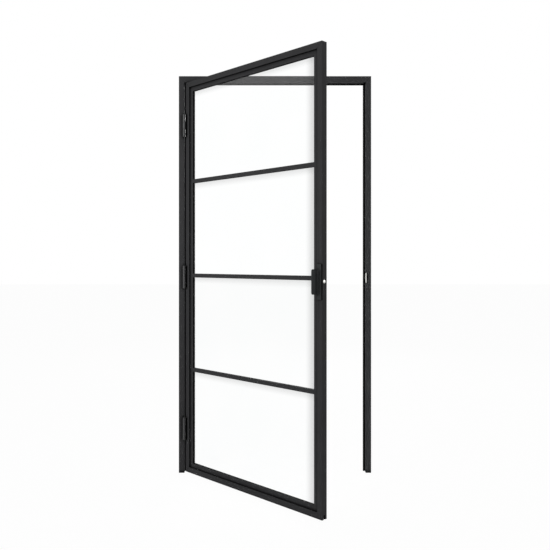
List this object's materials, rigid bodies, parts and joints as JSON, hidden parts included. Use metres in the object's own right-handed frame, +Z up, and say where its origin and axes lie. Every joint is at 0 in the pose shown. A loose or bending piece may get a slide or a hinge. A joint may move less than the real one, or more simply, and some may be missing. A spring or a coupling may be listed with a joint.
{
  "type": "glass door with its frame",
  "caption": "Dark metal framed glass door with slim glazing bars, standing half open in its frame.",
  "frame": {"origin": "on the floor, at mid width of the frame, in the plane of the frame's front face", "axes": "+X across the doorway from the hinge jamb to the strike jamb, +Y through the doorway away from the side that the leaf opens to, +Z up"},
  "size_m": [1, 0.7154, 2.063],
  "materials": {
    "dark_profile": "matt dark grey powder coat",
    "dark_fittings": "satin dark grey coating",
    "hinge_steel": "satin dark grey coating",
    "polished_steel": "polished",
    "bare_aluminium": "mill finish",
    "black_plastic": "matt",
    "black_rubber": "matt",
    "brush_pile": "short dense pile",
    "clear_glass": "clear polished"
  },
  "bodies": {
    "frame": {"frame_corner_cleats": "bare_aluminium", "frame_head": "dark_profile", "frame_head_seal": "black_rubber", "frame_head_stop": "dark_profile", "frame_hinge_plate_bottom": "hinge_steel", "frame_hinge_plate_middle": "hinge_steel", "frame_hinge_plate_top": "hinge_steel", "hinge_jamb": "dark_profile", "hinge_jamb_blocks": "black_plastic", "hinge_jamb_seal": "black_rubber", "hinge_jamb_stop": "dark_profile", "hinge_pin_bottom": "hinge_steel", "hinge_pin_middle": "hinge_steel", "hinge_pin_top": "hinge_steel", "strike_jamb": "dark_profile", "strike_jamb_block": "black_plastic", "strike_jamb_seal": "black_rubber", "strike_jamb_stop": "dark_profile", "strike_plate": "polished_steel"},
    "leaf": {"back_bar_bottom": "dark_profile", "back_bar_middle": "dark_profile", "back_bar_top": "dark_profile", "back_glazing_gasket": "black_rubber", "back_pull": "dark_fittings", "bottom_bead": "dark_profile", "bottom_rail": "dark_profile", "brush_carrier": "bare_aluminium", "brush_strip": "brush_pile", "catch_housing": "polished_steel", "catch_spring": "polished_steel", "front_bar_bottom": "dark_profile", "front_bar_middle": "dark_profile", "front_bar_top": "dark_profile", "front_glazing_gasket": "black_rubber", "front_pull": "dark_fittings", "glass_pane": "clear_glass", "hinge_side_bead": "dark_profile", "hinge_stile": "dark_profile", "leaf_corner_cleats": "bare_aluminium", "leaf_hinge_blocks": "black_plastic", "leaf_hinge_plate_bottom": "hinge_steel", "leaf_hinge_plate_middle": "hinge_steel", "leaf_hinge_plate_top": "hinge_steel", "lock_block": "black_plastic", "lock_side_bead": "dark_profile", "lock_stile": "dark_profile", "pull_screws": "dark_fittings", "setting_blocks": "black_plastic", "top_bead": "dark_profile", "top_rail": "dark_profile"},
    "plunger": {"catch_plunger": "polished_steel"}
  },
  "joints": [
    {"name": "leaf_swing", "type": "hinge", "parent": "frame", "child": "leaf", "pos_m": [-0.4715, -0.0075, 1.018], "axis": [0, 0, -1], "range_deg": [-45, 125]},
    {"name": "catch_press", "type": "slide", "parent": "leaf", "child": "plunger", "axis": [0.7071, -0.7071, 0], "range_m": [-0.0039, 0], "stiffness_N_per_m": 1500, "springref_m": 0.002, "deforming": ["catch_spring"]}
  ]
}
